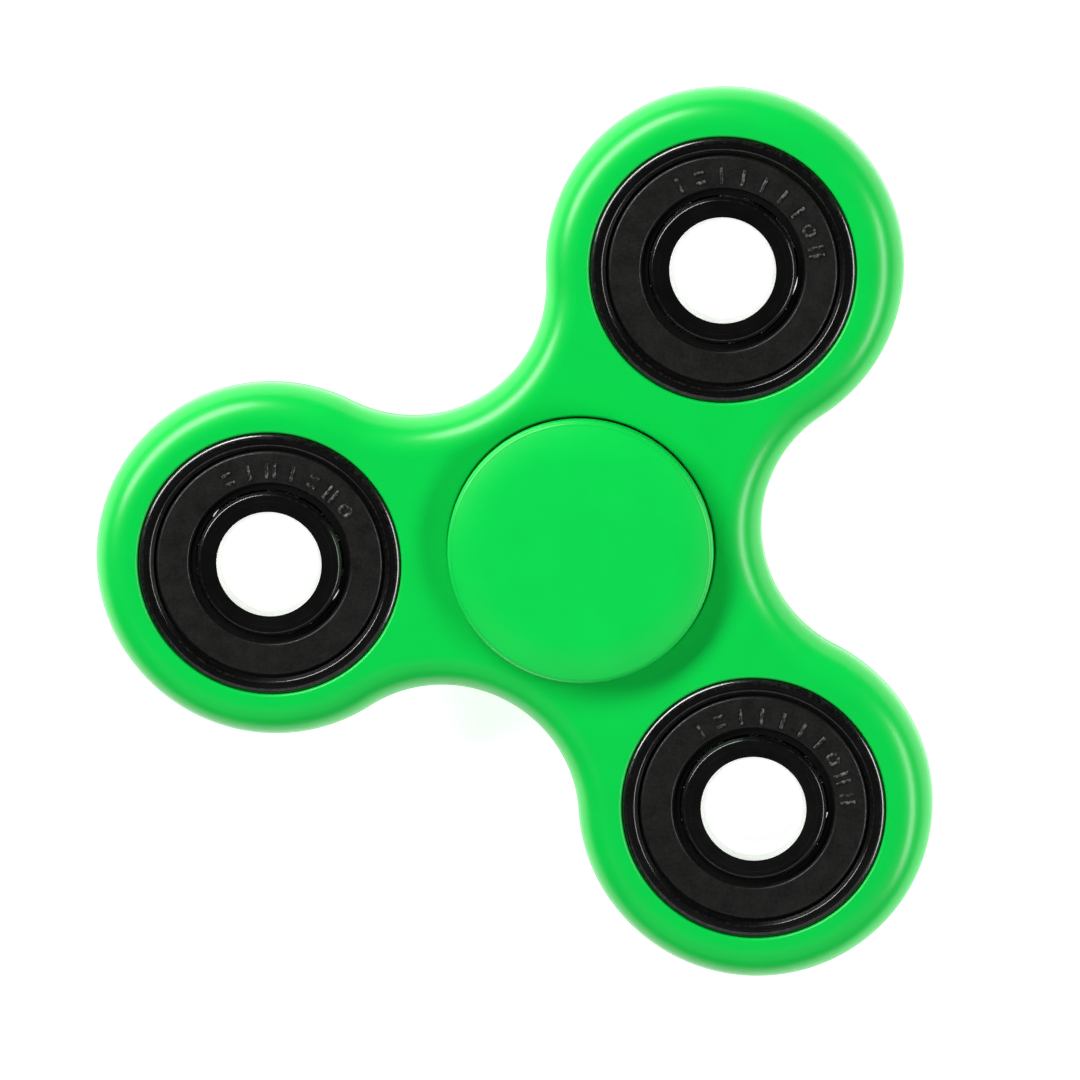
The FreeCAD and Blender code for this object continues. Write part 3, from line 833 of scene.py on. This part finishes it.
marks_tree = new_tree(
    "seal_marks",
    [
        ("Ring Radius", "NodeSocketFloat", 7.8 * mm),
        ("First Angle", "NodeSocketFloat", 0.0),
        ("Sweep", "NodeSocketFloat", 1.0),
        ("Count", "NodeSocketInt", 8),
        ("Mark Length", "NodeSocketFloat", 1.6 * mm),
        ("Mark Width", "NodeSocketFloat", 1.1 * mm),
        ("Stroke", "NodeSocketFloat", 0.3 * mm),
        ("Seed", "NodeSocketInt", 1),
        ("Rubber", "NodeSocketMaterial", None),
    ],
)
marks_in = marks_tree.nodes.new("NodeGroupInput").outputs
mark_length = maths(marks_tree, "SUBTRACT", marks_in["Mark Length"], marks_in["Stroke"])
mark_width = maths(marks_tree, "SUBTRACT", marks_in["Mark Width"], marks_in["Stroke"])
stroke_sides, loop_corner_steps = 10, 4
stroke_shape = node(
    marks_tree,
    "GeometryNodeCurvePrimitiveCircle",
    {"Resolution": stroke_sides, "Radius": maths(marks_tree, "MULTIPLY", marks_in["Stroke"], 0.5)},
    mode="RADIUS",
)


def loop_mark():
    """A loop with rounded corners, as long as it is wide."""
    square = node(
        marks_tree,
        "GeometryNodeCurvePrimitiveQuadrilateral",
        {"Width": mark_width, "Height": mark_width},
        mode="RECTANGLE",
    )
    corner_rounding = maths(marks_tree, "MULTIPLY", mark_width, 0.32)
    return node(
        marks_tree,
        "GeometryNodeFilletCurve",
        {"Curve": square, "Count": loop_corner_steps, "Radius": corner_rounding, "Limit Radius": True},
        mode="POLY",
    )


def bar_mark(length, along, sideways, across):
    """A straight bar, lengthways or across the mark, moved off the mark's middle."""
    bar = node(
        marks_tree,
        "GeometryNodeCurvePrimitiveLine",
        {
            "Start": vector_of(marks_tree, maths(marks_tree, "MULTIPLY", length, -0.5)),
            "End": vector_of(marks_tree, maths(marks_tree, "MULTIPLY", length, 0.5)),
        },
    )
    return node(
        marks_tree,
        "GeometryNodeTransform",
        {
            "Geometry": bar,
            "Translation": vector_of(marks_tree, along, sideways),
            "Rotation": (0.0, 0.0, math.pi / 2 if across else 0.0),
        },
    )


# The four kinds of mark: a loop, two bars lengthways, two bars across, and one bar lengthways.
mark_spread = maths(marks_tree, "MULTIPLY", mark_length, 0.3)
mark_curves = [
    loop_mark(),
    joined(
        marks_tree,
        bar_mark(mark_length, 0.0, maths(marks_tree, "MULTIPLY", mark_width, 0.4), False),
        bar_mark(mark_length, 0.0, maths(marks_tree, "MULTIPLY", mark_width, -0.4), False),
    ),
    joined(
        marks_tree,
        bar_mark(mark_width, mark_spread, 0.0, True),
        bar_mark(mark_width, maths(marks_tree, "MULTIPLY", mark_spread, -1.0), 0.0, True),
    ),
    bar_mark(mark_length, 0.0, 0.0, False),
]
mark_kinds = []
for mark_curve in mark_curves:
    level = node(marks_tree, "GeometryNodeSetCurveNormal", {"Curve": mark_curve}, mode="Z_UP")
    stroke = node(
        marks_tree,
        "GeometryNodeCurveToMesh",
        {"Curve": level, "Profile Curve": stroke_shape, "Fill Caps": True},
    )
    mark_kinds.append(node(marks_tree, "GeometryNodeGeometryToInstance", {"Geometry": stroke}))
last_mark = maths(marks_tree, "SUBTRACT", marks_in["Count"], 1.0)
share = maths(marks_tree, "DIVIDE", node(marks_tree, "GeometryNodeInputIndex"), last_mark)
mark_angle = maths(marks_tree, "MULTIPLY_ADD", share, marks_in["Sweep"], marks_in["First Angle"])
mark_place = vector_of(
    marks_tree,
    maths(marks_tree, "MULTIPLY", maths(marks_tree, "COSINE", mark_angle), marks_in["Ring Radius"]),
    maths(marks_tree, "MULTIPLY", maths(marks_tree, "SINE", mark_angle), marks_in["Ring Radius"]),
)
# A whole-number Random Value node has its limits in sockets 4 and 5 and its result in output 2.
pick = marks_tree.nodes.new("FunctionNodeRandomValue")
pick.data_type = "INT"
pick.inputs[4].default_value, pick.inputs[5].default_value = 0, len(mark_kinds) - 1
set_input(marks_tree, pick.inputs["Seed"], marks_in["Seed"])
mark_points = node(marks_tree, "GeometryNodePoints", {"Count": marks_in["Count"], "Position": mark_place})
set_marks = node(
    marks_tree,
    "GeometryNodeInstanceOnPoints",
    {
        "Points": mark_points,
        "Instance": joined(marks_tree, *mark_kinds),
        "Pick Instance": True,
        "Instance Index": pick.outputs[2],
        "Rotation": vector_of(marks_tree, 0.0, 0.0, mark_angle),
    },
)
real_marks = node(marks_tree, "GeometryNodeRealizeInstances", {"Geometry": set_marks})
# The marks get "edge" and "raised" at 1, which the rubber uses for its painted highlights.
for label in ("edge", "raised"):
    real_marks = node(
        marks_tree,
        "GeometryNodeStoreNamedAttribute",
        {"Geometry": real_marks, "Name": label, "Value": 1.0},
        data_type="FLOAT",
        domain="POINT",
    )
rubber_marks = node(
    marks_tree, "GeometryNodeSetMaterial", {"Geometry": real_marks, "Material": marks_in["Rubber"]}
)
set_input(marks_tree, marks_tree.nodes.new("NodeGroupOutput").inputs[0], rubber_marks)

# Each lobe's row of marks: its first angle and its sweep, in degrees, and its count.
mark_rows = {"upper": (114, -106, 9), "left": (112, -80, 7), "lower": (121, -118, 10)}
mark_seed = 3
for bearing, centre in bearing_centres.items():
    for side, over in (("front", False), ("back", True)):
        seal_name = f"{bearing}_{side}_seal_rubber"
        seal = turned(seal_name, seal_outline, centre, over, recess_height=recess_height)
        seal.data.materials.append(seal_rubber)
        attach(seal, "rotor")
        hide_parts(f"{bearing}_bearing_{side}_seal")
        if bearing not in mark_rows:
            continue
        first, sweep, count = mark_rows[bearing]
        marks = made_by(
            marks_tree,
            f"{bearing}_{side}_seal_marks_1",
            {
                "First Angle": math.radians(first),
                "Sweep": math.radians(sweep),
                "Count": count,
                "Seed": mark_seed + len(bearing),
                "Rubber": seal_rubber,
            },
        )
        turn_over = Matrix.Rotation(math.pi if over else 0, 4, "X")
        lift = Matrix.Translation((0, 0, seal_face))
        marks.data.transform(Matrix.Translation(centre) @ turn_over @ lift)
        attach(marks, "rotor")

# ---------------------------------------------------------------------------
# Inside each bearing. Seven polished chrome-steel balls run in a cage of two
# bright pressed-steel halves, which seven small rivets between the balls clamp
# together. The balls roll on the races, and the cage turns with them.


def bright_steel(name, colour, roughness, streak, depth):
    """Bare bright steel with fine streaks and patchy polish."""
    metal, tree, shader = new_material(name)
    place = node(tree, "ShaderNodeTexCoord", output="Object")
    streaks = noise_of(tree, node(tree, "ShaderNodeMapping", {"Vector": place, "Scale": streak}), 1.0, 4.0)
    dull_colour = [0.8 * channel for channel in colour]
    tint = between(tree, noise_of(tree, place, 900.0, 3.0), (*dull_colour, 1), (*colour, 1))
    set_input(tree, shader["Base Color"], tint)
    set_input(tree, shader["Roughness"], maths(tree, "MULTIPLY_ADD", streaks, 0.15, roughness))
    set_input(tree, shader["Normal"], bumped(tree, streaks, 0.3, depth))
    shader["Metallic"].default_value = 1.0
    return metal


# How many streaks to the metre along X, Y and Z.
ball_streak = (2500.0, 2500.0, 2500.0)
cage_streak = (900.0, 900.0, 6000.0)
rivet_streak = (4000.0, 4000.0, 4000.0)
inside_finishes = {
    "ball": bright_steel("polished_ball_steel", (0.72, 0.72, 0.74), 0.05, ball_streak, 0.001 * mm),
    "cage": bright_steel("pressed_cage_steel", (0.5, 0.5, 0.5), 0.3, cage_streak, 0.006 * mm),
    "rivets": bright_steel("rivet_steel", (0.56, 0.56, 0.57), 0.25, rivet_streak, 0.006 * mm),
}
for name, cad_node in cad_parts.items():
    for kind, finish in inside_finishes.items():
        if f"_{kind}_" in f"{name}_":
            cad_node.data.materials.clear()
            cad_node.data.materials.append(finish)
